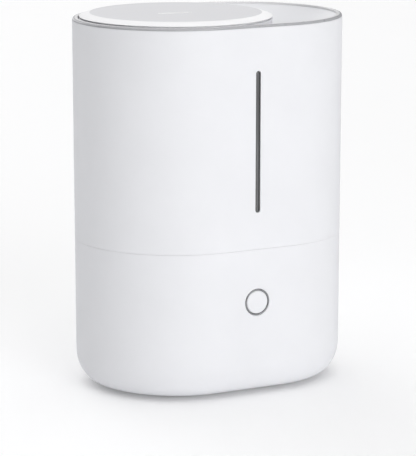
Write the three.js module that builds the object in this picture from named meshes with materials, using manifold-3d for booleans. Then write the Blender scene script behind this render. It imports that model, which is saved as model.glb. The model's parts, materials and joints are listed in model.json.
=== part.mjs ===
// A top-fill, cool-mist (ultrasonic) humidifier as an assembly of separate pieces.
// Units are millimetres. +Z is up, -Y is the front with the window and the button,
// and the origin is on the table under the middle of the body.
import * as THREE from 'three';
import { mergeVertices } from 'three/addons/utils/BufferGeometryUtils.js';
import Module from 'manifold-3d';

const wasm = await Module();
wasm.setup();

// ---------------------------------------------------------------- driving dimensions
const LENGTH = 230;
const DEPTH = 170;
const HEIGHT = 310;
const DRAFT = 1.1; // how much further in the wall stands at the table than at the tank's top
const WALL = 2.6;
const GAP = 0.3; // clearance between pieces that touch on the real object
const FOOT = 3; // the base's underside stands this far above the table
const SEAM = 123.6; // parting line between base and tank
const SEAM_GAP = 0.6;
const TANK_TOP = 304;
const RIM_TOP = 306.1;
const FLOOR_Z = 146; // underside of the tank's floor
const DECK_Z = 120; // top face of the base's deck
const PAN_FLOOR = 90; // top face of the reservoir's floor
const PAN_WALL = 2.2;
const BOTTOM_ROUND = { out: 18.7, up: 26 }; // quarter ellipse at the foot of the base
const SIDES = 18; // facets in each half circle of the body's outline
const ROUND = 24; // facets round a small turned piece

const END_R = DEPTH / 2;
const FLAT_HALF = (LENGTH - DEPTH) / 2;
const AXIS_X = -FLAT_HALF; // mist column, nozzle and transducer share this axis
const CHIMNEY_R = { in: 19, out: 21 };
const CHIMNEY_TOP = 296;
const COLLAR_R = { in: 23.4, out: 25.5 };
const COLLAR_TOP = 302.2;
const DISH_FLOOR = 286;
const NOZZLE_R = 79.2;
const NOZZLE_FLAT_R = 71.8;
const VALVE_X = 55;
const VALVE_TRAVEL = 4;
const FAN = { x: 42, y: -15 };
const FLOAT = { x: 30, y: 36 };
const BUTTON_Z = 79.8;
const BUTTON_TRAVEL = 0.8;
const INLET = { x: -20, z: 38 };
const WINDOW = { low: 153.9, high: 269.3, width: 4.2 };
const FEET = [[-58, -38], [58, -38], [-58, 38], [58, 38]];
const SCREWS = [[-22, -55.5], [22, -55.5], [-22, 55.5], [22, 55.5]];

// ---------------------------------------------------------------- materials
const plastic = (color, roughness = 0.35) => new THREE.MeshStandardMaterial({ color, roughness });
const metal = (color, roughness = 0.3) => new THREE.MeshStandardMaterial({ color, roughness, metalness: 1 });
const WHITE = plastic(0xf2f2f6);
const INNER_WHITE = plastic(0xe4e6ea, 0.45);
const SILVER = metal(0xb4b5b9, 0.35);
const RING_GREY = metal(0x85878c, 0.3);
const SMOKE = plastic(0x55565a, 0.15);
const CLEAR = plastic(0xd8dde2, 0.15);
const RUBBER = plastic(0x4b4c50, 0.8);
const SILICONE = plastic(0xd9d9d6, 0.6);
const DARK = plastic(0x232427, 0.5);
const BOARD = plastic(0x1f5a3a, 0.5);
const STEEL = metal(0x9a9b9e, 0.35);
const ALUMINIUM = metal(0xb9bbbf, 0.4);
const BRASS = metal(0xc9a75c, 0.35);
const RED_INSULATION = plastic(0x8d2c2a, 0.5);

// ---------------------------------------------------------------- solids and booleans
// A geometry as a manifold-3d solid, turned right side out whichever way its faces ran.
function solid(geometry) {
  const bare = new THREE.BufferGeometry();
  bare.setAttribute('position', geometry.getAttribute('position'));
  if (geometry.index) bare.setIndex(geometry.index);
  const merged = mergeVertices(bare, 1e-3);
  const index = new Uint32Array(merged.index.array);
  const vertProperties = merged.attributes.position.array;
  const mesh = () => new wasm.Mesh({ numProp: 3, vertProperties, triVerts: index });
  const made = new wasm.Manifold(mesh());
  if (made.volume() > 0) return made;
  for (let i = 0; i < index.length; i += 3) [index[i + 1], index[i + 2]] = [index[i + 2], index[i + 1]];
  return new wasm.Manifold(mesh());
}

const asSolid = (shape) => (shape.isBufferGeometry ? solid(shape) : shape);
const join = (...shapes) => shapes.map(asSolid).reduce((sum, shape) => sum.add(shape));

function cut(shape, ...holes) {
  return holes.map(asSolid).reduce((left, hole) => left.subtract(hole), asSolid(shape));
}

function asGeometry(shape) {
  const mesh = asSolid(shape).getMesh();
  const geometry = new THREE.BufferGeometry();
  geometry.setAttribute('position', new THREE.BufferAttribute(new Float32Array(mesh.vertProperties), 3));
  geometry.setIndex(new THREE.BufferAttribute(new Uint32Array(mesh.triVerts), 1));
  return geometry;
}

// ---------------------------------------------------------------- shapes
function box(x, y, z) {
  const made = new THREE.BoxGeometry(x[1] - x[0], y[1] - y[0], z[1] - z[0]);
  return made.translate((x[0] + x[1]) / 2, (y[0] + y[1]) / 2, (z[0] + z[1]) / 2);
}

// A closed profile of [radius, z] points turned about Z, or one that starts and ends on the axis.
function turned(profile, at = [0, 0], segments = ROUND) {
  const onAxis = profile[0][0] === 0;
  const points = (onAxis ? profile : [...profile, profile[0]]).map(([r, z]) => new THREE.Vector2(r, z));
  return new THREE.LatheGeometry(points, segments).rotateX(Math.PI / 2).translate(at[0], at[1], 0);
}

function rod(r, [low, high], at, segments) {
  return turned([[0, low], [r, low], [r, high], [0, high]], at, segments);
}

function tube([inner, outer], [low, high], at, segments) {
  return turned([[inner, low], [outer, low], [outer, high], [inner, high]], at, segments);
}

function stadiumShape(halfLength, radius, centre = [0, 0]) {
  const straight = halfLength - radius;
  const shape = new THREE.Shape();
  shape.absarc(centre[0] + straight, centre[1], radius, -Math.PI / 2, Math.PI / 2);
  shape.absarc(centre[0] - straight, centre[1], radius, Math.PI / 2, Math.PI * 1.5);
  return shape;
}

function slab(shape, z, curveSegments = SIDES / 2) {
  const made = new THREE.ExtrudeGeometry(shape, { depth: z[1] - z[0], bevelEnabled: false, curveSegments });
  return made.translate(0, 0, z[0]);
}

// How far inside the widest outline the tapered wall stands at height z.
const draftAt = (z) => (DRAFT * (TANK_TOP - z)) / TANK_TOP;

const bodySlab = (inset, z) => {
  const inwards = inset + draftAt(z[0]);
  return slab(stadiumShape(LENGTH / 2 - inwards, END_R - inwards), z);
};

// Stations round the body's outline: the middle of each end's arc, and the way out from it.
function outline(flatSteps = 1) {
  const stations = [];
  for (const side of [1, -1]) {
    for (let i = 0; i <= SIDES; i++) {
      const angle = (i / SIDES - 0.5) * Math.PI + (side < 0 ? Math.PI : 0);
      stations.push({ x: side * FLAT_HALF, out: [Math.cos(angle), Math.sin(angle)] });
    }
    for (let i = 1; i < flatSteps; i++) {
      stations.push({ x: side * FLAT_HALF * (1 - (2 * i) / flatSteps), out: [0, side] });
    }
  }
  return stations;
}

// Joins rings of points, each ring running round the outline, into one closed skin.
// Without caps the last ring joins the first, as round a frame; with caps the first and last are filled.
function skin(rings, caps = false) {
  const count = rings[0].length;
  const index = [];
  const pairs = caps ? rings.length - 1 : rings.length;
  for (let r = 0; r < pairs; r++) {
    const next = (r + 1) % rings.length;
    for (let i = 0; i < count; i++) {
      const j = (i + 1) % count;
      index.push(r * count + i, r * count + j, next * count + j);
      index.push(r * count + i, next * count + j, next * count + i);
    }
  }
  if (caps) {
    for (let i = 1; i < count - 1; i++) {
      index.push(0, i + 1, i);
      const last = (rings.length - 1) * count;
      index.push(last, last + i, last + i + 1);
    }
  }
  const geometry = new THREE.BufferGeometry();
  geometry.setAttribute('position', new THREE.Float32BufferAttribute(rings.flat(2), 3));
  geometry.setIndex(index);
  return geometry;
}

function ringAt(inset, z, stations) {
  return stations.map(({ x, out }) => {
    const height = typeof z === 'function' ? z(x, out) : z;
    const radius = END_R - inset - draftAt(height);
    return [x + radius * out[0], radius * out[1], height];
  });
}

// A closed profile of [inset, z] points carried round the body's outline.
const around = (profile) => skin(profile.map(([inset, z]) => ringAt(inset, z, outline())));

// A pill-shaped bar: width across, length from end to end along Y, z its thickness.
function pill(width, length, z, segments = 6) {
  return slab(stadiumShape(length / 2, width / 2), z, segments).rotateZ(Math.PI / 2);
}

// A round wire of that radius along a curve.
function wireAlong(extrudePath, radius, steps) {
  const section = new THREE.Shape();
  section.absarc(0, 0, radius, 0, Math.PI * 2);
  return new THREE.ExtrudeGeometry(section, { extrudePath, steps, curveSegments: 3, bevelEnabled: false });
}

function lead(points, radius) {
  const curve = new THREE.CatmullRomCurve3(points.map((p) => new THREE.Vector3(...p)));
  return wireAlong(curve, radius, points.length * 4);
}

// ---------------------------------------------------------------- the scene graph
const humidifier = new THREE.Group();
humidifier.name = 'humidifier';

function group(name, parent = humidifier) {
  const made = new THREE.Group();
  made.name = name;
  parent.add(made);
  return made;
}

function piece(parent, name, shape, material) {
  const mesh = new THREE.Mesh(asGeometry(shape), material);
  mesh.name = name;
  parent.add(mesh);
  return mesh;
}

// ---------------------------------------------------------------- base: shell, cover, feet
const base = group('base');
const wallY = (z) => END_R - draftAt(z);
const frontBore = (r, z, x = 0) => rod(r, [60, 100], [0, 0]).rotateX(Math.PI / 2).translate(x, 0, z);

function baseShell() {
  const roundTop = FOOT + BOTTOM_ROUND.up;
  const arc = (a, b, inset, steps) =>
    Array.from({ length: steps + 1 }, (_, i) => {
      const t = (i / steps) * (Math.PI / 2);
      return [inset + a * (1 - Math.cos(t)), roundTop - b * Math.sin(t)];
    });
  const top = SEAM - SEAM_GAP / 2;
  const ledge = { low: 5.9, high: 8.4, inset: 32 };
  const outer = [[0, top], ...arc(BOTTOM_ROUND.out, BOTTOM_ROUND.up, 0, 6)];
  const inner = arc(BOTTOM_ROUND.out - WALL, roundTop - ledge.high, WALL, 3).reverse();
  const foot = [[23.7, FOOT], [23.7, ledge.low], [ledge.inset, ledge.low], [ledge.inset, ledge.high]];
  const shell = around([...outer, ...foot, ...inner, [WALL, top]]);
  const bosses = SCREWS.map((at) => rod(4, [ledge.high - 0.5, 16], at, 14));
  const screwHoles = SCREWS.map((at) => rod(1.7, [5, 17], at, 10));
  const boardPost = (x) => rod(2, [wallY(BUTTON_Z) - 13, wallY(BUTTON_Z) - 2], [0, 0], 10)
    .rotateX(Math.PI / 2).translate(x, 0, BUTTON_Z);
  const walls = join(shell, ...bosses, boardPost(-15), boardPost(15));
  const inletHole = frontBore(7.4, 0).rotateZ(Math.PI).translate(INLET.x, 0, INLET.z);
  return cut(walls, ...screwHoles, frontBore(11.2, BUTTON_Z), inletHole);
}
piece(base, 'base_shell', baseShell(), WHITE);

const BOARD_BOX = { x: [-72, -12], y: [-28, 28], z: [14, 15.6] };

function bottomCover() {
  const plate = bodySlab(24, [FOOT, 5.6]);
  const standoff = (x, y) => rod(3, [5, BOARD_BOX.z[0] - GAP], [x, y], 12);
  const standoffs = [[-68, -24], [-68, 24], [-16, -24], [-16, 24]].map(([x, y]) => standoff(x, y));
  const pockets = FEET.map((at) => rod(8.3, [FOOT - 1, 4.9], at, 20));
  const screwHoles = SCREWS.flatMap((at) => [rod(1.7, [2, 6], at, 10), rod(3.6, [2, 4.4], at, 14)]);
  const grille = [-3, -2, -1, 0, 1, 2, 3].map((i) => {
    const x = FAN.x + i * 5;
    const half = 17 - Math.abs(i) * 1.6;
    return box([x - 1.3, x + 1.3], [FAN.y - half, FAN.y + half], [2, 7]);
  });
  return cut(join(plate, ...standoffs), ...pockets, ...screwHoles, ...grille);
}
piece(base, 'bottom_cover', bottomCover(), INNER_WHITE);

FEET.forEach(([x, y], i) => {
  const foot = turned([[0, 0], [7.2, 0], [8, 0.8], [8, 4.6], [0, 4.6]], [0, 0], 20);
  piece(base, `foot_${i + 1}`, foot, RUBBER).position.set(x, y, 0);
});

function screw(length) {
  const body = turned([[0, 0], [3.2, 0], [3.2, 1], [1.4, 1], [1.4, length], [0, length]], [0, 0], 12);
  return cut(body, box([-1.8, 1.8], [-0.35, 0.35], [-1, 0.5]), box([-0.35, 0.35], [-1.8, 1.8], [-1, 0.5]));
}
SCREWS.forEach(([x, y], i) => {
  piece(base, `cover_screw_${i + 1}`, screw(11), STEEL).position.set(x, y, FOOT + 0.1);
});

// ---------------------------------------------------------------- base: deck and reservoir
const PAN = { x: 8, half: 80, radius: 58, under: PAN_FLOOR - 2.5 };
const AIR_WAY = { x: [-3.7, 9.9], y: [-10.2, 10.2] }; // the passage up from the fan, in plan
const POST_TOP = 127.2;
const DECK_LIP = { top: 128, inset: [3.1, 4.9] };
const DECK_UNDER = DECK_Z - 2.5;

function baseDeck() {
  const panShape = (inset) => stadiumShape(PAN.half - inset, PAN.radius - inset, [PAN.x, 0]);
  const [out, into] = DECK_LIP.inset;
  const lip = around([[out, DECK_UNDER], [into, DECK_UNDER], [into, DECK_LIP.top], [out, DECK_LIP.top]]);
  const plate = bodySlab(out, [DECK_UNDER, DECK_Z]);
  const pan = slab(panShape(0), [PAN.under, DECK_Z]);
  const tray = cut(join(plate, lip, pan), slab(panShape(PAN_WALL), [PAN_FLOOR, DECK_LIP.top]));
  const throughFloor = [PAN.under - 1, PAN_FLOOR + 1];
  const airHole = box(AIR_WAY.x, AIR_WAY.y, throughFloor);
  const transducerHole = rod(12.3, throughFloor, [AXIS_X, 0], 24);
  const valvePost = rod(3, [PAN_FLOOR - 0.5, POST_TOP], [VALVE_X, 0], 14);
  const ribs = [
    box([VALVE_X - 7, VALVE_X + 7], [-1, 1], [PAN_FLOOR - 0.5, 116]),
    box([VALVE_X - 1, VALVE_X + 1], [-7, 7], [PAN_FLOOR - 0.5, 116]),
  ];
  const floatPost = rod(3.4, [PAN_FLOOR - 0.5, 112], [FLOAT.x, FLOAT.y], 16);
  return join(cut(tray, airHole, transducerHole), valvePost, ...ribs, floatPost);
}
piece(base, 'base_deck', baseDeck(), INNER_WHITE);

// A ring round the transducer keeps the fan's air over the spray, and a closed tower beside it
// brings that air up clear of the water. Both stand on the reservoir's floor.
const MIST_RING = { in: 22, out: 24, top: 124 };
const TOWER = { wall: 2, top: 119 };
const AIR_PORT = box([AXIS_X + 14, 2], [-9, 9], [102, 115]);

function mistRing() {
  const wall = tube([MIST_RING.in, MIST_RING.out], [PAN_FLOOR + GAP, MIST_RING.top], [AXIS_X, 0], 32);
  const waterNotch = box([AXIS_X - 30, AXIS_X - 18], [-8, 8], [PAN_FLOOR, PAN_FLOOR + 6]);
  return cut(wall, AIR_PORT, waterNotch);
}
piece(base, 'mist_ring', mistRing(), INNER_WHITE);

function airTower() {
  const low = PAN_FLOOR + GAP;
  const x = [AIR_WAY.x[0] - 5.3, AIR_WAY.x[1] + TOWER.wall];
  const y = [AIR_WAY.y[0] - TOWER.wall, AIR_WAY.y[1] + TOWER.wall];
  const besideRing = rod(MIST_RING.out + GAP, [low - 1, TOWER.top + 1], [AXIS_X, 0], 32);
  const hollow = box(AIR_WAY.x, AIR_WAY.y, [low - 1, TOWER.top - TOWER.wall]);
  return cut(box(x, y, [low, TOWER.top]), besideRing, hollow, AIR_PORT);
}
piece(base, 'air_tower', airTower(), INNER_WHITE);

// Ultrasonic transducer, held in a rubber seal in the reservoir's floor by a plate from below.
const transducer = group('transducer', base);
transducer.position.set(AXIS_X, 0, PAN.under);
piece(transducer, 'transducer_seal', turned([
  [8.4, 0.3], [12, 0.3], [12, 3.1], [8.4, 3.1], [8.4, 2.4], [10.3, 2.4], [10.3, 1], [8.4, 1],
]), SILICONE);
piece(transducer, 'transducer_disc', rod(10, [1.3, 2.1]), BRASS);
piece(transducer, 'transducer_retainer', tube([7, 18], [-2.6, -0.3]), ALUMINIUM);

// ---------------------------------------------------------------- base: fan and air duct
const DUCT = { low: 6.2, top: PAN.under - GAP, wall: 1.8 };
const FAN_PORT = { y: [-8, 8], z: [8.2, 27.8] };

function fanHousing() {
  const at = [FAN.x, FAN.y];
  const casing = join(rod(29, [6.2, 30], at, 32), box([12, FAN.x], [-10, 10], [6.2, 30]));
  return cut(
    casing,
    rod(26.8, FAN_PORT.z, at, 32),
    box([10, FAN.x], FAN_PORT.y, FAN_PORT.z),
    rod(17, [5, 9], at, 24),
  );
}
piece(base, 'fan_housing', fanHousing(), DARK);
piece(base, 'fan_motor', tube([2, 12], [24, 27.5], [FAN.x, FAN.y], 24), STEEL);

function airDuct() {
  const { low, top, wall } = DUCT;
  const grown = ([from, to]) => [from - wall, to + wall];
  const hollow = box(AIR_WAY.x, AIR_WAY.y, [low + wall, top + 1]);
  const port = box([AIR_WAY.x[1] - 1, AIR_WAY.x[1] + wall + 1], FAN_PORT.y, FAN_PORT.z);
  return cut(box(grown(AIR_WAY.x), grown(AIR_WAY.y), [low, top]), hollow, port);
}
piece(base, 'air_duct', airDuct(), DARK);

const fanRotor = group('fan_rotor');
fanRotor.position.set(FAN.x, FAN.y, 0);

function impeller() {
  const blades = Array.from({ length: 14 }, (_, i) =>
    box([15.5, 25], [-0.5, 0.5], [10.5, 22.4]).translate(0, -6, 0).rotateZ((i / 14) * Math.PI * 2));
  const backplate = rod(25, [22, 23.5], [0, 0], 28);
  const hub = rod(9, [13, 22.4], [0, 0], 20);
  const shaft = rod(1.5, [23, 27], [0, 0], 10);
  return join(backplate, hub, shaft, ...blades);
}
piece(fanRotor, 'fan_impeller', impeller(), DARK);

// ---------------------------------------------------------------- base: electronics and wires
piece(base, 'main_board', box(BOARD_BOX.x, BOARD_BOX.y, BOARD_BOX.z), BOARD);

function heatSink() {
  const foot = box([-38, -20], [4, 24], [15.9, 18.4]);
  const fins = [5, 9.5, 14, 18.5].map((y) => box([-38, -20], [y, y + 1.6], [18, 34]));
  return join(foot, ...fins, box([-38, -20], [22.4, 24], [18, 34]));
}
piece(base, 'heat_sink', heatSink(), ALUMINIUM);
piece(base, 'capacitor', rod(6.2, [15.9, 36], [-58, 14], 18), DARK);
piece(base, 'drive_coil', tube([3.2, 9], [15.9, 26], [-54, -12], 22), BRASS);

piece(base, 'transducer_lead', lead([
  [-42, -14, 17.4], [-42.5, -10, 32], [-42, -4, 56], [-41, -1, 72], [-41, 0, 83.2],
], 1.3), RED_INSULATION);
piece(base, 'fan_lead', lead([
  [-14.5, -18, 17.2], [-10, -22, 26], [4, -22, 33], [24, -18, 34], [34, -15, 31.8],
], 1.2), DARK);
piece(base, 'button_lead', lead([
  [-24, -24, 17.2], [-20, -34, 34], [-10, -48, 60], [-6, -62, 74], [-6, -68, 76],
], 1.2), DARK);
piece(base, 'inlet_lead', lead([
  [-40, 26, 17.2], [-34, 36, 26], [-24, 50, 36], [-20, 62, 38], [-20, 67.5, 38],
], 1.4), DARK);

// ---------------------------------------------------------------- base: power button and power inlet
// A frame standing on the wall's outer face, with its own Z pointing out of the body.
function onFront(name, x, z, parent) {
  const made = group(name, parent);
  made.position.set(x, -wallY(z), z);
  made.rotation.x = Math.PI / 2;
  return made;
}

const buttonSeat = onFront('button_seat', 0, BUTTON_Z, base);
piece(buttonSeat, 'button_ring', turned([
  [9.3, -4.2], [12.6, -4.2], [12.6, -2.9], [10.9, -2.9], [10.9, 0], [10.6, 0.25], [9.6, 0.25], [9.3, 0],
], [0, 0], 32), RING_GREY);
const SWITCH_TOP = -8 - BUTTON_TRAVEL - GAP;
piece(buttonSeat, 'button_switch', join(
  box([-3, 3], [-3, 3], [-12.9, SWITCH_TOP - 0.3]),
  rod(1.7, [-10, SWITCH_TOP], [0, 0], 12),
), DARK);
piece(buttonSeat, 'button_board', box([-17, 17], [-12, 12], [-14.9, -13.3]), BOARD);

const button = onFront('button', 0, BUTTON_Z);
piece(button, 'button_cap', turned([
  [0, 0.4], [5, 0.33], [8, 0.12], [8.9, -0.5], [8.9, -4.9],
  [10.8, -4.9], [10.8, -6], [2.2, -6], [2.2, -8], [0, -8],
], [0, 0], 32), WHITE);

const inlet = group('inlet', base);
inlet.position.set(INLET.x, wallY(INLET.z), INLET.z);
inlet.rotation.x = -Math.PI / 2;
piece(inlet, 'power_inlet', join(
  turned([
    [3.2, -13], [0, -13], [0, -15.5], [5.5, -15.5], [5.5, -5],
    [9, -5], [9, -2.9], [7.1, -2.9], [7.1, 0], [3.2, 0],
  ], [0, 0], 24),
  rod(1, [-14, -1.5], [0, 0], 10),
), DARK);

// ---------------------------------------------------------------- base: float
const floatGroup = group('float');
floatGroup.position.set(FLOAT.x, FLOAT.y, PAN_FLOOR);
piece(floatGroup, 'level_float', turned([
  [4, 0.4], [10, 0.4], [11, 1.4], [11, 9.4], [10, 10.4], [4, 10.4],
], [0, 0], 24), INNER_WHITE);
piece(base, 'float_cap', turned([
  [0, 112.3], [6.5, 112.3], [6.5, 113.8], [5.5, 114.8], [0, 114.8],
], [FLOAT.x, FLOAT.y], 18), SMOKE);

// ---------------------------------------------------------------- tank
const tank = group('tank');
const TANK_LOW = SEAM + SEAM_GAP / 2;

function tankShell() {
  const wall = around([[0, TANK_LOW], [0, TANK_TOP], [WALL, TANK_TOP], [WALL, TANK_LOW]]);
  const length = WINDOW.high - WINDOW.low;
  const slot = pill(WINDOW.width, length, [70, 100]).rotateX(Math.PI / 2);
  return cut(wall, slot.translate(0, 0, (WINDOW.high + WINDOW.low) / 2));
}
piece(tank, 'tank_shell', tankShell(), WHITE);

const windowSeat = onFront('window', 0, (WINDOW.high + WINDOW.low) / 2, tank);
windowSeat.rotation.x += Math.atan(DRAFT / TANK_TOP); // the lens lies along the tapered wall
const lensLength = WINDOW.high - WINDOW.low;
piece(windowSeat, 'window_lens', join(
  pill(WINDOW.width - 0.6, lensLength - 0.6, [-3.5, -1.7]),
  pill(12, lensLength + 9, [-4.8, -3]),
), SMOKE);

function tankFloor() {
  const plate = bodySlab(WALL + GAP, [FLOOR_Z, FLOOR_Z + 2.6]);
  const neck = rod(18.3, [FLOOR_Z - 7, FLOOR_Z + 0.5], [VALVE_X, 0], 32);
  return cut(
    join(plate, neck),
    rod(CHIMNEY_R.out + GAP, [FLOOR_Z - 1, FLOOR_Z + 4], [AXIS_X, 0], 32),
    rod(16.3, [FLOOR_Z - 8, FLOOR_Z + 4], [VALVE_X, 0], 32),
  );
}
piece(tank, 'tank_floor', tankFloor(), INNER_WHITE);

function mistChimney() {
  const pipe = tube([CHIMNEY_R.in, CHIMNEY_R.out], [122.5, CHIMNEY_TOP], [AXIS_X, 0], 32);
  const flange = tube([CHIMNEY_R.in, 27], [FLOOR_Z + 2.9, FLOOR_Z + 4.9], [AXIS_X, 0], 32);
  return join(pipe, flange);
}
piece(tank, 'mist_chimney', mistChimney(), CLEAR);

// Valve: a cap screwed over the neck, whose stem the deck's post lifts when the tank stands on the base.
const SEAT_Z = FLOOR_Z - 7;

function valveCap() {
  const ring = tube([18.7, 20.7], [SEAT_Z - 2.3, FLOOR_Z - 0.4], [0, 0], 32);
  const seat = tube([7, 20.7], [SEAT_Z - 2.3, SEAT_Z - 0.3], [0, 0], 32);
  const guide = tube([2.8, 4.4], [SEAT_Z - 2.3, SEAT_Z - 0.3], [0, 0], 18);
  const spokes = [0, 1, 2].map((i) =>
    box([3.6, 8], [-0.8, 0.8], [SEAT_Z - 2.3, SEAT_Z - 0.3]).rotateZ((i / 3) * Math.PI * 2));
  const lugs = [0, 1, 2, 3, 4, 5].map((i) =>
    box([20, 22.2], [-2.5, 2.5], [SEAT_Z - 2.3, FLOOR_Z - 1.4]).rotateZ((i / 6) * Math.PI * 2));
  return join(ring, seat, guide, ...spokes, ...lugs);
}
piece(tank, 'valve_cap', valveCap(), INNER_WHITE).position.x = VALVE_X;

const SPRING = { low: POST_TOP + GAP + 2.4, high: SEAT_Z - 2.6, radius: 3.9, wire: 0.35, turns: 4 };

function valveSpring() {
  class Helix extends THREE.Curve {
    getPoint(t, target = new THREE.Vector3()) {
      const angle = t * SPRING.turns * Math.PI * 2;
      const rise = SPRING.high - SPRING.low - 2 * SPRING.wire;
      const height = SPRING.low + SPRING.wire + t * rise;
      return target.set(SPRING.radius * Math.cos(angle), SPRING.radius * Math.sin(angle), height);
    }
  }
  return wireAlong(new Helix(), SPRING.wire, SPRING.turns * 12);
}
piece(tank, 'valve_spring', valveSpring(), STEEL).position.x = VALVE_X;

const valve = group('valve');
valve.position.x = VALVE_X;
const SEAL_Z = SEAT_Z - GAP + VALVE_TRAVEL + GAP; // the seal's underside, open, above the seat
piece(valve, 'valve_stem', turned([
  [0, POST_TOP + GAP], [5, POST_TOP + GAP], [5, POST_TOP + GAP + 2.1], [2.4, POST_TOP + GAP + 2.1],
  [2.4, SEAL_Z + 1.8], [8.5, SEAL_Z + 1.8], [8.5, SEAL_Z + 3.4], [2, SEAL_Z + 4.6], [0, SEAL_Z + 4.6],
], [0, 0], 20), INNER_WHITE);
piece(valve, 'valve_seal', tube([2.7, 10.5], [SEAL_Z, SEAL_Z + 1.5], [0, 0], 24), SILICONE);

// ---------------------------------------------------------------- lid: fill dish, rim ring, seals
const lid = group('lid');
const RIM = { out: 0.35, land: 2.35, inner: 4.6, round: 1.5 };
const smooth = (t) => {
  const s = Math.min(1, Math.max(0, t));
  return s * s * (3 - 2 * s);
};

// The dish drops straight down beside the nozzle and runs out as a long scoop at the other end.
const SCOOP = { from: -12, to: 90, steep: 0.8, long: 54 };
const scoopAt = (x) => smooth((x - SCOOP.from) / (SCOOP.to - SCOOP.from));

function dishHeight(inset, x) {
  const width = SCOOP.steep + SCOOP.long * scoopAt(x);
  const s = Math.min(1, Math.max(0, (inset - RIM.inner) / width));
  return DISH_FLOOR + (TANK_TOP - DISH_FLOOR) * (1 - s) ** 2;
}

function topCover() {
  const stations = outline(4);
  const xOf = (inset, x, out) => x + (END_R - inset) * out[0];
  const surface = (inset, drop) => {
    const height = (x, out) => dishHeight(inset, xOf(inset, x, out)) - drop;
    return ringAt(inset, height, stations);
  };
  const skirtInset = 5.7;
  const skirtEnd = (x, out) => {
    const at = xOf(skirtInset, x, out);
    return dishHeight(skirtInset, at) - 2.6 - 8.6 * scoopAt(at);
  };
  const level = (inset, z) => ringAt(inset, z, stations);
  const top = [4.6, 5.4, 8, 13, 21, 32, 46, 60].map((inset) => surface(inset, 0));
  const under = [60, 46, 32, 21, 13, 8, skirtInset].map((inset) => surface(inset, 2.2));
  const skirt = [level(skirtInset, skirtEnd), level(3.1, skirtEnd)];
  const groove = [level(3.1, 296), level(4.1, 296.2), level(4.1, 299), level(3.1, 299.2)];
  // From the middle of the top face out to the rim, down the outside, and back in along the underside.
  const outside = [level(3.1, TANK_TOP), ...groove.reverse()];
  const dish = skin([...top.reverse(), ...outside, ...skirt.reverse(), ...under.reverse()], true);
  const axis = [AXIS_X, 0];
  const collar = tube([COLLAR_R.in, COLLAR_R.out], [DISH_FLOOR - 1, COLLAR_TOP], axis, 32);
  const fillSlot = (middle) => {
    const half = THREE.MathUtils.degToRad(13);
    const angle = THREE.MathUtils.degToRad(middle);
    const shape = new THREE.Shape();
    shape.absarc(0, 0, 52, angle - half, angle + half);
    shape.absarc(0, 0, 37, angle + half, angle - half, true);
    return slab(shape, [DISH_FLOOR - 6, DISH_FLOOR + 3], 5).translate(axis[0], 0, 0);
  };
  const mistHole = rod(COLLAR_R.in, [DISH_FLOOR - 6, DISH_FLOOR + 3], axis, 32);
  const open = cut(dish, mistHole, ...[-34, 0, 34].map(fillSlot));
  return join(open, collar);
}
piece(lid, 'top_cover', topCover(), WHITE);

function rimRing() {
  const low = TANK_TOP + GAP;
  const rounded = [0, 1, 2, 3].map((i) => {
    const t = (i / 3) * (Math.PI / 2);
    return [RIM.land - (RIM.land - RIM.out) * Math.cos(t), RIM_TOP - RIM.round * (1 - Math.sin(t))];
  });
  const inside = [[RIM.inner - 0.3, RIM_TOP], [RIM.inner, RIM_TOP - 0.3], [RIM.inner, low]];
  return around([[RIM.out, low], ...rounded, ...inside]);
}
piece(lid, 'rim_ring', rimRing(), SILVER);
piece(lid, 'lid_gasket', around([[2.9, 296.6], [3.8, 296.6], [3.8, 298.6], [2.9, 298.6]]), SILICONE);
piece(lid, 'chimney_seal', turned([
  [21.3, 287], [23.1, 287], [23.1, 291], [22.3, 291], [21.3, 290.2],
], [AXIS_X, 0], 32), SILICONE);

// ---------------------------------------------------------------- nozzle
const carrier = group('nozzle_carrier');
carrier.position.x = AXIS_X;
piece(carrier, 'nozzle_seat', turned([
  [26, 293], [33, 293], [33, 295], [28.8, 295],
  [28.8, 304.6], [20.5, 304.6], [20.5, 302.6], [26, 302.6],
], [0, 0], 32), INNER_WHITE);

const nozzle = group('nozzle');
nozzle.position.x = AXIS_X;

function nozzleCap() {
  const roof = HEIGHT - 2.4;
  const bevel = [[NOZZLE_FLAT_R, HEIGHT], [75.6, 309], [78.4, 307.6], [NOZZLE_R, 306]];
  const dome = turned([
    [0, HEIGHT], ...bevel, [NOZZLE_R, 292], [NOZZLE_R - 2, 292], [NOZZLE_R - 2, 305.2], [NOZZLE_FLAT_R, roof],
    [31.2, roof], [31.2, 295.4], [29.2, 295.4], [29.2, roof], [0, roof],
  ], [0, 0], 44);
  const slot = pill(3.4, 27, [roof - 1, HEIGHT + 1]).rotateZ(Math.PI / 2 - THREE.MathUtils.degToRad(8));
  return cut(dome, slot.translate(-4.6, -7, 0));
}
piece(nozzle, 'nozzle_cap', nozzleCap(), WHITE);

export default humidifier;
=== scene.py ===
import json
import math

import bmesh
import bpy
from mathutils import Matrix, Vector


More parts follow.
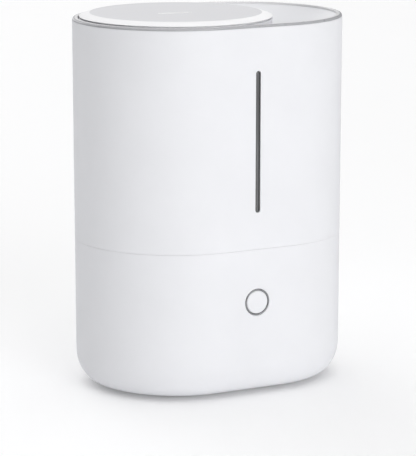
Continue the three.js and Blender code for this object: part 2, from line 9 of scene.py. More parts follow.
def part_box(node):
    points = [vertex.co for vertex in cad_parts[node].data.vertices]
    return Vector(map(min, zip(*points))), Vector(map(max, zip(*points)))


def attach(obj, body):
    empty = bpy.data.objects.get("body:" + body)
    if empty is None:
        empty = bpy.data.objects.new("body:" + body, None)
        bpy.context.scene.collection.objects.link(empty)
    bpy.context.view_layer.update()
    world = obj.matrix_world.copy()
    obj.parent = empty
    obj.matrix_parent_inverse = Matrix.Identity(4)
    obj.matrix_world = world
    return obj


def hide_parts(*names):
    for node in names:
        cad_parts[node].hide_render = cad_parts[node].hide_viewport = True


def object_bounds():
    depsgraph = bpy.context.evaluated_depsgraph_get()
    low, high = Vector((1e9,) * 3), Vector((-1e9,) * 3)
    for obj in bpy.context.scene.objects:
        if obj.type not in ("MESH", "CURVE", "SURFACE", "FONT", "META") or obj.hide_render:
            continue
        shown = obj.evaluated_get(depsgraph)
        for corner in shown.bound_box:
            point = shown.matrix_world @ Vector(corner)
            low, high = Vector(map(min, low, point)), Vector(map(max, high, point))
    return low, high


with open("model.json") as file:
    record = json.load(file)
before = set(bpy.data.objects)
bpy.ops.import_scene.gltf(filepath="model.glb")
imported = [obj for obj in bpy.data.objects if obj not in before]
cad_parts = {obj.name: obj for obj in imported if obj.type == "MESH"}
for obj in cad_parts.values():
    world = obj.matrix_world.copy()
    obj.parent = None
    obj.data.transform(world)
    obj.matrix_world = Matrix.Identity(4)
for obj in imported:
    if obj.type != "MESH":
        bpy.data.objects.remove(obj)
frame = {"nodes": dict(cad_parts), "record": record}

cad_box = [list(corner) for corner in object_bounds()]
MM = 0.001
X, Y, Z = 0, 1, 2


# ---------------------------------------------------------------- sizes from the frame
def reach(node, axis):
    """A CAD node's lowest and highest coordinate along an axis, in millimetres."""
    return [round(corner[axis] / MM, 2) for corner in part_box(node)]


def middle(node, axis):
    """The middle of a CAD node along an axis, in millimetres."""
    return round(sum(reach(node, axis)) / 2, 2)


HALF_LENGTH, END_R, HEIGHT = [round(size / MM, 2) for size in cad_box[1]]
FLAT_HALF = HALF_LENGTH - END_R  # half the length of the body's flat front and back
FOOT, BASE_TOP = reach("base_shell", Z)
TANK_LOW, TANK_TOP = reach("tank_shell", Z)
SEAM = round((BASE_TOP + TANK_LOW) / 2, 2)
RIM_TOP = reach("rim_ring", Z)[1]
AXIS_X = middle("nozzle_cap", X)  # mist column, nozzle and transducer share this axis
NOZZLE_R = reach("nozzle_cap", Y)[1]
NOZZLE_LOW = reach("nozzle_cap", Z)[0]
BUTTON_Z = middle("button_ring", Z)
INLET_X, INLET_Z = middle("power_inlet", X), middle("power_inlet", Z)
FEET = [(middle(f"foot_{i}", X), middle(f"foot_{i}", Y)) for i in range(1, 5)]
SCREWS = [(middle(f"cover_screw_{i}", X), middle(f"cover_screw_{i}", Y)) for i in range(1, 5)]
FAN = (middle("fan_motor", X), middle("fan_motor", Y))
FLOAT = (middle("level_float", X), middle("level_float", Y))
MIST_AXIS = (AXIS_X, 0)
VALVE = (middle("valve_cap", X), 0)
PAN_UNDER = reach("base_deck", Z)[0]
SEAT_Z, FLOOR_TOP = reach("tank_floor", Z)

# Sizes that no node's box gives, as in the CAD.
DRAFT = 1.1  # how much further in the wall stands at the table than at the tank's top
WALL = 2.6
DUCT_WALL = 1.8
PLATE = 2.5  # thickness of the deck and of the reservoir's floor
DECK_Z = 120.0
PAN_FLOOR = PAN_UNDER + PLATE
FLOOR_Z = FLOOR_TOP - 2.6
AIR_WAY = [(reach("air_duct", axis)[0] + DUCT_WALL, reach("air_duct", axis)[1] - DUCT_WALL)
           for axis in (X, Y)]
DISH_FLOOR = 286.0
RIM_INNER = 4.6  # how far in from the body's outline the rim ends and the dish begins
COLLAR_R = (23.4, 25.5)
CHIMNEY_R = (19.0, 21.0)
WINDOW = (153.9, 269.3)
WINDOW_LENGTH = WINDOW[1] - WINDOW[0]
WINDOW_MIDDLE = (WINDOW[0] + WINDOW[1]) / 2

# Sizes of the fine detail.
ARC = 72  # facets in each half circle of the body
SEAM_GAP = 0.1
SEAM_ROUND = 0.16
WINDOW_SLOT = 4.4
LENS_WIDTH = 4.2
THROUGH = (-15, 15)  # from behind the wall to in front of it, for a hole cut through it


# ---------------------------------------------------------------- outlines and profiles
def stadium(half, radius, centre=(0, 0), segments=ARC):
    """A stadium outline of that half length along X."""
    points = []
    for side in (1, -1):
        middle_x = centre[0] + side * (half - radius)
        for i in range(segments + 1):
            a = (i / segments - 0.5) * math.pi + (math.pi if side < 0 else 0)
            points.append((middle_x + radius * math.cos(a), centre[1] + radius * math.sin(a)))
    return points


def pill(width, length, segments=24, at=(0, 0)):
    """A small stadium outline with its long side along Y."""
    outline = stadium(length / 2, width / 2, (0, 0), segments)
    return [(at[0] + across, at[1] + along) for along, across in outline]


def circle(r, at=(0, 0), segments=64):
    turns = [2 * math.pi * k / segments for k in range(segments)]
    return [(at[0] + r * math.cos(a), at[1] + r * math.sin(a)) for a in turns]


def quarter(start, end, steps):
    """A quarter of an ellipse that leaves start along the second axis and meets end along the first."""
    points = []
    for i in range(steps + 1):
        t = i / steps * math.pi / 2
        points.append((start[0] + (end[0] - start[0]) * (1 - math.cos(t)),
                       start[1] + (end[1] - start[1]) * math.sin(t)))
    return points


def soft(profile, radius, steps=3, closed=True, keep=()):
    """A 2-D profile with its corners rounded. The points whose numbers are in keep stay as they are."""
    rounded = []
    count = len(profile)
    for i, point in enumerate(profile):
        corner = Vector(point)
        before = Vector(profile[i - 1]) - corner
        after = Vector(profile[(i + 1) % count]) - corner
        is_end = not closed and i in (0, count - 1)
        if is_end or i in keep or before.angle(after) > math.radians(165):
            rounded.append(tuple(corner))
            continue
        back = radius / math.tan(before.angle(after) / 2)
        back = min(back, before.length * 0.45, after.length * 0.45)
        p = corner + before.normalized() * back
        q = corner + after.normalized() * back
        for k in range(steps + 1):
            t = k / steps
            rounded.append(tuple(p * (1 - t) ** 2 + corner * 2 * t * (1 - t) + q * t * t))
    return rounded


def draft_at(z):
    """How far inside the widest outline the tapered wall stands at height z."""
    return DRAFT * (TANK_TOP - z) / TANK_TOP


def wall_y(z):
    return END_R - draft_at(z)


def body_outline(inset, z):
    inwards = inset + draft_at(z)
    return stadium(HALF_LENGTH - inwards, END_R - inwards)


def stations(flat=(28.5, -28.5)):
    """Round the body's outline: the x that each way out starts from, and the way out itself.
    flat has the stations on the straight front and back, between the half circles."""
    found = []
    for side in (1, -1):
        for i in range(ARC + 1):
            a = (i / ARC - 0.5) * math.pi + (math.pi if side < 0 else 0)
            found.append((side * FLAT_HALF, math.cos(a), math.sin(a)))
        for x in flat:
            found.append((side * x, 0.0, float(side)))
    return found


def ring_at(inset, z, outline):
    """A ring of points inset from the body's outline. z is a height, or gives one from x."""
    ring = []
    for x, out_x, out_y in outline:
        radius = END_R - inset
        height = z(x + radius * out_x) if callable(z) else z
        radius -= draft_at(height)
        ring.append((x + radius * out_x, radius * out_y, height))
    return ring


# ---------------------------------------------------------------- meshes
def link(ob):
    bpy.context.scene.collection.objects.link(ob)
    return ob


def mesh_object(name, verts, faces):
    """A mesh object from points in millimetres, with its faces turned outwards."""
    bm = bmesh.new()
    made = [bm.verts.new((x * MM, y * MM, z * MM)) for x, y, z in verts]
    for face in faces:
        bm.faces.new([made[i] for i in face])
    bmesh.ops.remove_doubles(bm, verts=bm.verts, dist=1e-7)
    bmesh.ops.recalc_face_normals(bm, faces=bm.faces)
    mesh = bpy.data.meshes.new(name)
    bm.to_mesh(mesh)
    bm.free()
    return link(bpy.data.objects.new(name, mesh))


def loft(rings, closed=True):
    """Faces between rings of points. Closed, the last ring joins the first. Open, both are capped."""
    n = len(rings[0])
    verts = [point for ring in rings for point in ring]
    faces = []
    for r in range(len(rings) if closed else len(rings) - 1):
        s = (r + 1) % len(rings)
        for i in range(n):
            j = (i + 1) % n
            faces.append((r * n + i, r * n + j, s * n + j, s * n + i))
    if not closed:
        last = (len(rings) - 1) * n
        faces.append(tuple(range(n))[::-1])
        faces.append(tuple(last + i for i in range(n)))
    return verts, faces


def around(name, profile):
    """A closed profile of (inset, z) carried round the body's outline."""
    outline = stations()
    return mesh_object(name, *loft([ring_at(inset, z, outline) for inset, z in profile]))


def lathe(name, profile, at=(0, 0), segments=96, closed=True):
    """A profile of (radius, z) turned about Z. An open one starts and ends on the axis."""
    rings = [[(x, y, z) for x, y in circle(r, at, segments)] for r, z in profile]
    verts, faces = loft(rings)
    if not closed:
        faces = faces[:-segments]
    return mesh_object(name, verts, faces)


def slab(name, outline, low, high):
    rings = [[(x, y, z) for x, y in outline] for z in (low, high)]
    return mesh_object(name, *loft(rings, False))


def box(name, x, y, z):
    return slab(name, [(x[0], y[0]), (x[1], y[0]), (x[1], y[1]), (x[0], y[1])], *z)


def cylinder(name, r, at, low, high, segments=96):
    return slab(name, circle(r, at, segments), low, high)


def moved(ob, matrix):
    ob.data.transform(matrix)
    ob.data.update()
    return ob


def turned_about(ob, degrees, at):
    """Turns a shape made at the origin about Z, and sets it down at a place."""
    place = Matrix.Translation(Vector((*at, 0)) * MM)
    return moved(ob, place @ Matrix.Rotation(math.radians(degrees), 4, "Z"))


def upright(ob, x, y, z, back=False):
    """Stands a shape made flat, with +Z towards its face, on the front or the back of the body."""
    face = Matrix.Rotation(math.radians(-90 if back else 90), 4, "X")
    if back:
        face = face @ Matrix.Rotation(math.pi, 4, "Z")
    return moved(ob, Matrix.Translation(Vector((x, y, z)) * MM) @ face)


def boolean(ob, others, operation="DIFFERENCE"):
    """Cuts ob by every other, or joins it with them. The others are used up."""
    for other in others:
        mod = ob.modifiers.new("cut", "BOOLEAN")
        mod.operation = operation
        mod.object = other
        mod.solver = "EXACT"
    bpy.context.view_layer.update()
    seen = ob.evaluated_get(bpy.context.evaluated_depsgraph_get())
    made = bpy.data.meshes.new_from_object(seen)
    ob.modifiers.clear()
    ob.data = made
    for other in others:
        bpy.data.objects.remove(other)


def round_edges(ob, width, where, steps=3):
    """Rounds the sharp edges whose middle, in millimetres, passes where."""
    bm = bmesh.new()
    bm.from_mesh(ob.data)
    bmesh.ops.remove_doubles(bm, verts=bm.verts, dist=2e-6)
    bmesh.ops.dissolve_degenerate(bm, edges=bm.edges, dist=1e-6)
    chosen = []
    for edge in bm.edges:
        if len(edge.link_faces) != 2 or edge.calc_face_angle(0) < math.radians(30):
            continue
        if where((edge.verts[0].co + edge.verts[1].co) / 2 / MM):
            chosen.append(edge)
    bmesh.ops.bevel(bm, geom=chosen, offset=width * MM, segments=steps, profile=0.5,
                    affect="EDGES", clamp_overlap=True, loop_slide=True)
    bm.to_mesh(ob.data)
    bm.free()


def smooth_shaded(ob, sharp=40):
    """Gives ob smooth faces with weighted normals, so that broad flats stay flat."""
    ob.data.polygons.foreach_set("use_smooth", [True] * len(ob.data.polygons))
    ob.data.set_sharp_from_angle(angle=math.radians(sharp))
    mod = ob.modifiers.new("weighted", "WEIGHTED_NORMAL")
    mod.keep_sharp = True
    mod.weight = 80


# ---------------------------------------------------------------- node trees
class Tree:
    """A short way to write a node tree. Inputs are named with _ for a space."""

    def __init__(self, tree):
        self.tree = tree

    def put(self, socket, value):
        """Links a socket to another one, or sets its own value."""
        if isinstance(value, bpy.types.NodeSocket):
            self.tree.links.new(value, socket)
        elif socket.type == "RGBA":
            socket.default_value = (*value[:3], 1.0)
        else:
            socket.default_value = value

    def new(self, kind, **inputs):
        node = self.tree.nodes.new(kind)
        for name, value in inputs.items():
            self.put(node.inputs[name.replace("_", " ")], value)
        return node

    def math(self, operation, *values):
        node = self.new("ShaderNodeMath")
        node.operation = operation
        for socket, value in zip(node.inputs, values):
            self.put(socket, value)
        return node.outputs[0]

    def between(self, value, low, high, from_low=0.3, from_high=0.7):
        """Runs from low to high while the value runs from from_low to from_high."""
        node = self.new("ShaderNodeMapRange")
        for socket, number in zip(node.inputs, (value, from_low, from_high, low, high)):
            self.put(socket, number)
        return node.outputs[0]

    def blend(self, share, a, b):
        node = self.new("ShaderNodeMix")
        node.data_type = "RGBA"
        self.put(node.inputs["Factor"], share)
        colours = [socket for socket in node.inputs if socket.type == "RGBA"]
        for socket, colour in zip(colours, (a, b)):
            self.put(socket, colour)
        return [socket for socket in node.outputs if socket.type == "RGBA"][0]

    def along(self, vector, axis):
        return self.new("ShaderNodeSeparateXYZ", Vector=vector).outputs[axis]


class Material(Tree):
    """A procedural material laid out in the object's own coordinates, in metres."""

    def __init__(self, name):
        self.made = bpy.data.materials.new(name)
        self.made.use_nodes = True
        super().__init__(self.made.node_tree)
        self.shader = self.tree.nodes["Principled BSDF"]
        self.place = self.new("ShaderNodeTexCoord").outputs["Object"]

    def noise(self, scale, detail=3.0, rough=0.5, vector=None, distort=0.0):
        where = self.place if vector is None else vector
        node = self.new("ShaderNodeTexNoise", Vector=where, Scale=scale, Detail=detail,
                        Roughness=rough, Distortion=distort)
        return node.outputs["Fac"]

    def stretched(self, x, y, z):
        node = self.new("ShaderNodeMapping", Vector=self.place, Scale=(x, y, z))
        return node.outputs["Vector"]

    def bump(self, height, strength, distance, **under):
        """The normal over a relief. Where Normal is given, the relief lies on that."""
        node = self.new("ShaderNodeBump", Height=height, Strength=strength, Distance=distance, **under)
        return node.outputs["Normal"]

    def set(self, **sockets):
        for name, value in sockets.items():
            self.put(self.shader.inputs[name.replace("_", " ")], value)


# ---------------------------------------------------------------- materials
WHITE = (0.80, 0.805, 0.83)
MATT = {"rough": (0.34, 0.42), "specular": 0.3, "grazing": 0.0}
INSULATION_ROUGH = (0.35, 0.5)


def moulded(name, rough=(0.28, 0.36), grain=1400.0, depth=0.00003, coat=0.0, scuffs=0.05,
            specular=0.5, grazing=None):
    """Moulded plastic's surface: a fine mould texture and a few rubbed patches.
    Where grazing is given, the gloss falls to it at the edges, as on a fine matt texture."""
    m = Material(name)
    gloss = m.between(m.noise(220), *rough)
    rubbed = m.between(m.noise(55, 6, 0.65, m.stretched(1, 1, 2.2), 0.6), 0, scuffs, 0.56, 0.72)
    peel = m.bump(m.noise(180, 1, 0.4), 0.02, 0.0002)
    fine = m.bump(m.noise(grain, 2), 0.12, depth, Normal=peel)
    m.set(Roughness=m.math("ADD", gloss, rubbed), Normal=fine)
    m.set(Coat_Weight=coat, Coat_Roughness=0.12, Specular_IOR_Level=specular)
    if grazing is not None:
        slant = m.new("ShaderNodeLayerWeight", Blend=0.5).outputs["Facing"]
        m.set(Specular_IOR_Level=m.between(slant, specular, grazing, 0.35, 0.72))
    return m


def mottled(m, colour, share):
    """A colour with faint flow marks, darker and lighter by that share."""
    dark = [c * (1 - share) for c in colour]
    light = [min(1.0, c * (1 + share)) for c in colour]
    return m.blend(m.between(m.noise(16, 4, 0.55), 0, 1, 0.35, 0.65), dark, light)


def plastic(name, colour, **surface):
    m = moulded(name, **surface)
    m.set(Base_Color=mottled(m, colour, 0.012))
    return m


def satin_metal(name, colour, rough=(0.22, 0.36), stretch=(10, 10, 10)):
    """Metal with a drawn or turned grain that changes its gloss."""
    m = Material(name)
    grain = m.noise(60, 5, 0.6, m.stretched(*stretch))
    dark = [c * 0.93 for c in colour]
    light = [min(1.0, c * 1.05) for c in colour]
    tint = m.blend(m.between(m.noise(30), 0, 1), dark, light)
    m.set(Base_Color=tint, Roughness=m.between(grain, *rough), Metallic=1.0,
          Normal=m.bump(grain, 0.15, 0.00005))
    return m


def rubber(name, colour, rough=(0.62, 0.8)):
    """Rubber or soft insulation with a little dust on it."""
    m = Material(name)
    dusty = [min(1.0, c * 1.25 + 0.01) for c in colour]
    tint = m.blend(m.between(m.noise(90, 5, 0.6), 0, 1, 0.45, 0.75), colour, dusty)
    m.set(Base_Color=tint, Roughness=m.between(m.noise(180), *rough),
          Normal=m.bump(m.noise(900, 3, 0.6), 0.4, 0.00006))
    return m


def circuit_board(name):
    """Green solder mask with copper tracks under it."""
    m = Material(name)
    cells = m.new("ShaderNodeTexVoronoi", Vector=m.place, Scale=260.0)
    cells.distance = "MANHATTAN"
    track = m.between(cells.outputs["Distance"], 0, 1, 0.28, 0.33)
    tint = m.blend(track, (0.035, 0.17, 0.07), (0.015, 0.085, 0.035))
    m.set(Base_Color=tint, Roughness=m.between(m.noise(150), 0.25, 0.4),
          Normal=m.bump(track, 0.3, 0.00005))
    return m


def clear_plastic(name):
    """Clear plastic with a slight haze."""
    m = Material(name)
    tint = m.blend(m.between(m.noise(70, 4, 0.6), 0, 1), (0.80, 0.84, 0.87), (0.86, 0.89, 0.91))
    m.set(Base_Color=tint, Roughness=m.between(m.noise(300), 0.14, 0.3), Transmission_Weight=0.75,
          IOR=1.5, Normal=m.bump(m.noise(240, 2), 0.12, 0.0002))
    return m


def body_radius(m):
    """How far a point is from the body's middle line, in metres, as a socket."""
    past_flat = m.math("SUBTRACT", m.math("ABSOLUTE", m.along(m.place, "X")), FLAT_HALF * MM)
    past = m.math("MAXIMUM", past_flat, 0.0)
    across = m.along(m.place, "Y")
    squares = m.math("ADD", m.math("MULTIPLY", past, past), m.math("MULTIPLY", across, across))
    return m.math("SQRT", squares)


def rim_silver(name):
    """Silver trim: its own darker grey on the rounded edge outside, and the land on top painted
    lighter, to lift the shade it gets beside the nozzle and on the inner wall.
    """
    m = moulded(name, rough=(0.26, 0.36), grazing=0.05)
    # Painted light: the land is lighter than the trim's grey to lift the shade that falls beside the
    # nozzle and on the rim's inner wall.
    land_painted_lighter = mottled(m, (0.83, 0.83, 0.84), 0.02)
    edge = m.between(body_radius(m), 0, 1, (END_R - 2.3) * MM, (END_R - 1.9) * MM)
    m.set(Base_Color=m.blend(edge, land_painted_lighter, (0.41, 0.41, 0.43)))
    return m


def nozzle_painted_light(name):
    """The nozzle's plastic, fine matt all over, with painted light: its flat top painted greyer as
    shade and the bevel round it painted whiter as a highlight, above the plain white skirt.
    """
    m = moulded(name, **MATT)
    height = m.along(m.place, "Z")
    # Painted shade on the flat top and a painted highlight on the bevel: lit and shaded copies of the
    # body's white.
    face = m.between(height, 0, 1, (HEIGHT - 0.12) * MM, (HEIGHT - 0.01) * MM)
    skirt = m.between(height, 1, 0, (HEIGHT - 5.5) * MM, (HEIGHT - 3.2) * MM)
    tint = m.blend(face, mottled(m, (0.95, 0.95, 0.96), 0.006), (0.75, 0.75, 0.77))
    m.set(Base_Color=m.blend(skirt, tint, WHITE))
    return m


def smoked_lens(name):
    """Smoked window plastic with painted light: a lighter band down the lens's middle as a painted
    highlight, painted shade towards the left edge, and deeper painted shade towards the right.
    """
    m = moulded(name, rough=(0.18, 0.26), coat=0.3)
    across = m.along(m.place, "X")
    streak = m.between(m.noise(30, vector=m.stretched(1, 1, 0.7)), 0, 1)
    body = m.blend(streak, (0.082, 0.083, 0.086), (0.135, 0.137, 0.138))
    # Painted shade: the lens darkens towards its left edge, which leaves its middle as a lighter
    # painted highlight.
    painted_left_shade = m.blend(m.between(across, 0, 1, -2.0 * MM, -0.6 * MM), (0.06, 0.06, 0.063), body)
    # Painted shade: the lens's right side is painted near black where the recess wall shades it.
    right = m.between(across, 0, 1, 0.1 * MM, 0.9 * MM)
    m.set(Base_Color=m.blend(right, painted_left_shade, (0.022, 0.022, 0.024)))
    return m


# By the record's material slot.
finishes = {
    "body_white": plastic("shell_white", WHITE, **MATT),
    "inner_white": plastic("inner_white", (0.72, 0.73, 0.75), rough=(0.4, 0.52), grain=1000,
                           depth=0.00005),
    "rim_silver": rim_silver("rim_silver"),
    "smoked_lens": smoked_lens("smoked_lens"),
    "dark_plastic": plastic("dark_plastic", (0.035, 0.036, 0.04), rough=(0.38, 0.5), grain=900,
                            depth=0.00006),
    "ring_grey": satin_metal("ring_plated", (0.33, 0.335, 0.35), (0.16, 0.26), (8, 8, 8)),
    "steel": satin_metal("steel", (0.55, 0.55, 0.56)),
    "aluminium": satin_metal("aluminium", (0.68, 0.69, 0.71), (0.28, 0.42), (3, 60, 3)),
    "brass": satin_metal("brass", (0.72, 0.52, 0.25), stretch=(6, 6, 60)),
    "foot_rubber": rubber("foot_rubber", (0.06, 0.06, 0.065)),
    "silicone": rubber("silicone", (0.62, 0.62, 0.60), (0.42, 0.55)),
    "lead_red": rubber("lead_red", (0.32, 0.035, 0.03), INSULATION_ROUGH),
    "lead_dark": rubber("lead_dark", (0.03, 0.03, 0.033), INSULATION_ROUGH),
    "board_green": circuit_board("board"),
    "clear_tube": clear_plastic("clear_tube"),
}


def dress(ob, slot, body, node, finish=None, sharp=40):
    """Gives a new piece smooth shading, its material and its body, and hides the CAD node that it
    stands for.
    """
    smooth_shaded(ob, sharp)
    ob.data.materials.clear()
    ob.data.materials.append((finish or finishes[slot]).made)
    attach(ob, body)
    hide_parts(node)


# ---------------------------------------------------------------- tank and base shells
def tank_shell():
    low = SEAM + SEAM_GAP / 2
    profile = [(0, low), (0, TANK_TOP), (WALL, TANK_TOP), (WALL, low)]
    ob = around("tank_shell_fine", soft(profile, SEAM_ROUND))
    slot = slab("cut", pill(WINDOW_SLOT, WINDOW_LENGTH), *THROUGH)
    boolean(ob, [upright(slot, 0, -END_R, WINDOW_MIDDLE)])

    def round_slot(m):
        beside = abs(m.x) < WINDOW_SLOT / 2 + 0.4 and WINDOW[0] - 1 < m.z < WINDOW[1] + 1
        return beside and m.y < -wall_y(m.z) + 0.2

    round_edges(ob, 0.3, round_slot)
    dress(ob, "body_white", "tank", "tank_shell")


def base_shell():
    top = SEAM - SEAM_GAP / 2
    bottom_round = (18.7, FOOT + 26)  # how far in and how high the quarter ellipse at the foot goes
    ledge = 8.4
    rim = soft([(WALL, 60), (WALL, top), (0, top), (0, 60)], SEAM_ROUND, keep=(0, 3))
    outer = quarter((0, bottom_round[1]), (bottom_round[0], FOOT), 24)
    inner = quarter((WALL, bottom_round[1]), (bottom_round[0], ledge), 8)
    seat = [(23.7, FOOT), (23.7, 5.9), (32, 5.9), (32, ledge)]  # the bottom cover lies in this
    ob = around("base_shell_fine", rim + outer + seat + inner[::-1])
    hole = upright(slab("cut", circle(11.2), *THROUGH), 0, -END_R, BUTTON_Z)
    socket = upright(slab("cut", circle(7.4), *THROUGH), INLET_X, END_R, INLET_Z, back=True)
    boolean(ob, [hole, socket])

    def round_holes(m):
        return abs(abs(m.y) - wall_y(m.z)) < 0.2 and abs(m.x) < 28 and 28 < m.z < 95

    round_edges(ob, 0.3, round_holes)
    boolean(ob, [slab("boss", circle(4, at, 32), 7.9, 16) for at in SCREWS], "UNION")
    dress(ob, "body_white", "base", "base_shell")


tank_shell()
base_shell()


# ---------------------------------------------------------------- rim ring, cover with its dish
def rim_ring():
    low = TANK_TOP + 0.12
    outer = [(0.30, low)] + quarter((0.30, RIM_TOP - 1.5), (2.35, RIM_TOP), 8)
    inner = [(RIM_INNER - 0.4, RIM_TOP), (RIM_INNER - 0.15, RIM_TOP - 0.08),
             (RIM_INNER, RIM_TOP - 0.35), (RIM_INNER, low)]
    dress(around("rim_ring_fine", outer + inner), "rim_silver", "lid", "rim_ring")


def scoop(x):
    """How far the dish has run out into its long scoop at x, from 0 beside the nozzle to 1."""
    start, end = -12, 90
    share = min(1.0, max(0.0, (x - start) / (end - start)))
    return share * share * (3 - 2 * share)


def dish_height(inset, x):
    """The dish drops straight down beside the nozzle and runs out gently at the scoop's end."""
    steep, gentle, edge = 0.8, 54, TANK_TOP + 0.4
    share = min(1.0, max(0.0, (inset - RIM_INNER) / (steep + gentle * scoop(x))))
    return DISH_FLOOR + (edge - DISH_FLOOR) * (1 - share) ** 2


def fill_slot(degrees):
    """The cutter of one curved filling slot in the dish's floor, beside the nozzle's collar."""
    inner_r, outer_r, half, turn = 37, 52, math.radians(13), math.radians(degrees)
    sweep = [turn - half + 2 * half * k / 16 for k in range(17)]
    arc = [(outer_r, a) for a in sweep] + [(inner_r, a) for a in sweep[::-1]]
    outline = [(AXIS_X + r * math.cos(a), r * math.sin(a)) for r, a in arc]
    return slab("cut", outline, DISH_FLOOR - 8, DISH_FLOOR + 3)


def top_cover():
    outline = stations(flat=(26, 20, 14, 8, 2, -4, -10, -16, -22, -27))
    thickness, skirt_in, skirt_out = 2.2, 5.7, 3.1

    def surface(inset, drop):
        return ring_at(inset, lambda x: dish_height(inset, x) - drop, outline)

    def skirt_end(x):
        return dish_height(skirt_in, x) - 2.6 - 8.6 * scoop(x)

    steep = [RIM_INNER, 4.8, 5.0, 5.2, 5.5, 6, 7, 8, 9.5, 11, 13]
    gentle = [15, 18, 21, 25, 29, 33, 38, 43, 48, 54, 60, 68]
    top = [surface(inset, 0) for inset in steep + gentle]
    edge = [ring_at(4.45, TANK_TOP + 0.05, outline), ring_at(skirt_out, TANK_TOP - 0.1, outline)]
    groove = [(skirt_out, 299.2), (skirt_out + 1, 299), (skirt_out + 1, 296.2), (skirt_out, 296)]
    gasket_groove = [ring_at(inset, z, outline) for inset, z in groove]
    skirt = [ring_at(inset, skirt_end, outline) for inset in (skirt_out, skirt_in)]
    under = [surface(inset, thickness) for inset in (skirt_in, 8, 11, 15, 21, 29, 38, 48, 60, 68)]
    ob = mesh_object("top_cover_fine", *loft(top[::-1] + edge + gasket_groove + skirt + under, False))
    mist_hole = cylinder("cut", COLLAR_R[0], MIST_AXIS, DISH_FLOOR - 8, DISH_FLOOR + 3)
    boolean(ob, [mist_hole] + [fill_slot(degrees) for degrees in (-34, 0, 34)])
    low, high = DISH_FLOOR - 1, 302.2
    collar = [(COLLAR_R[0], low), (COLLAR_R[1], low), (COLLAR_R[1], high), (COLLAR_R[0], high)]
    boolean(ob, [lathe("collar", soft(collar, 0.4), MIST_AXIS)], "UNION")
    finish = plastic("cover_white", WHITE, rough=(0.30, 0.36), specular=0.35, scuffs=0.012)
    dress(ob, "body_white", "lid", "top_cover", finish, sharp=50)


rim_ring()
top_cover()


# ---------------------------------------------------------------- nozzle
def slot_cutter(low):
    """The cutter of the nozzle's slot, from the top down to low. It rounds the slot's upper edge."""
    width, length, radius, turn = 3.9, 28, 0.8, math.radians(-8)
    centre = (AXIS_X - 4.6, -7)
    levels = [(3.7, HEIGHT + 0.5)]  # how much wider than the slot on each side, and the height
    for degrees in (8, 25, 42, 60, 75, 90):
        a = math.radians(degrees)
        levels.append((radius * (1 - math.sin(a)), HEIGHT - radius * (1 - math.cos(a))))
    levels.append((0.0, low))
    rings = []
    for wider, z in levels:
        outline = stadium(length / 2 + wider, width / 2 + wider, segments=24)
        rings.append([(centre[0] + x * math.cos(turn) - y * math.sin(turn),
                       centre[1] + x * math.sin(turn) + y * math.cos(turn), z) for x, y in outline])
    return mesh_object("cut", *loft(rings, False))


def nozzle_cap():
    out, low, roof = NOZZLE_R, NOZZLE_LOW, HEIGHT - 2.4
    flat = out - 8.4  # radius of the flat top
    neck = out - 3.0  # the bevel overhangs a narrow shadow gap
    falls = [(-0.9, 0), (-0.1, 0.05), (0.8, 0.28), (2.0, 0.55), (4.2, 1.2), (6.1, 1.85), (7.4, 2.3),
             (8.15, 2.65), (8.4, 2.85)]  # how far out from the flat top, and how far down
    bevel = [(flat + outwards, HEIGHT - down) for outwards, down in falls]
    gap = [(out, HEIGHT - 3.0), (out - 0.15, HEIGHT - 3.15), (neck, HEIGHT - 3.4),
           (neck, HEIGHT - 4.7), (out - 0.15, HEIGHT - 4.75), (out, HEIGHT - 4.9)]
    skirt = [(out, low + 0.4), (out - 0.3, low), (out - 1.7, low), (out - 2, low + 0.4)]
    inside = [(out - 2, 302.8), (neck - 1.8, 303.4), (neck - 1.8, 306.2), (neck - 3.4, roof)]
    socket = [(31.2, roof), (31.2, 295.4), (29.2, 295.4), (29.2, roof), (0.0, roof)]
    profile = [(0.0, HEIGHT), (60, HEIGHT)] + bevel + gap + skirt + inside + socket
    ob = lathe("nozzle_cap_fine", profile, MIST_AXIS, 192, False)
    boolean(ob, [slot_cutter(roof - 2)])
    dress(ob, "body_white", "nozzle", "nozzle_cap", nozzle_painted_light("nozzle_painted_light"))


def nozzle_seat():
    profile = [(26, 293), (33, 293), (33, 295), (28.8, 295), (28.8, 304.6), (20.5, 304.6),
               (20.5, 302.6), (26, 302.6)]
    ob = lathe("nozzle_seat_fine", soft(profile, 0.4), MIST_AXIS)
    dress(ob, "inner_white", "nozzle_carrier", "nozzle_seat")


nozzle_cap()
nozzle_seat()


# ---------------------------------------------------------------- window lens
def crowned(name, width, length, low, edge, rise):
    """A pill from low up to its edge, with a face crowned by rise across its width."""
    levels = [(0.0, low)] + quarter((0.0, edge), (width / 2, edge + rise), 9)[:-1]
    rings = []
    for inset, z in levels:
        rings.append([(x, y, z) for x, y in pill(width - 2 * inset, length - 2 * inset)])
    return mesh_object(name, *loft(rings, False))


def window_lens():
    ob = crowned("window_lens_fine", LENS_WIDTH, WINDOW_LENGTH - 0.2, -3.6, -1.15, 0.6)
    boolean(ob, [slab("flange", pill(12, WINDOW_LENGTH + 9), -4.8, -3.0)], "UNION")
    moved(ob, Matrix.Rotation(math.atan(DRAFT / TANK_TOP), 4, "X"))
    upright(ob, 0, -wall_y(WINDOW_MIDDLE), WINDOW_MIDDLE)
    dress(ob, "smoked_lens", "tank", "window_lens")


window_lens()


# ---------------------------------------------------------------- button, its ring and the power inlet
def button_ring():
    profile = [(9.4, -4.2), (12.6, -4.2), (12.6, -2.9), (11.0, -2.9), (11.0, 0.05), (10.75, 0.28),
               (10.05, 0.28), (9.8, 0.05), (9.8, -2.5)]
    ob = lathe("button_ring_fine", soft(profile, 0.18, 2), segments=128)
    upright(ob, 0, -wall_y(BUTTON_Z), BUTTON_Z)
    dress(ob, "ring_grey", "base", "button_ring")


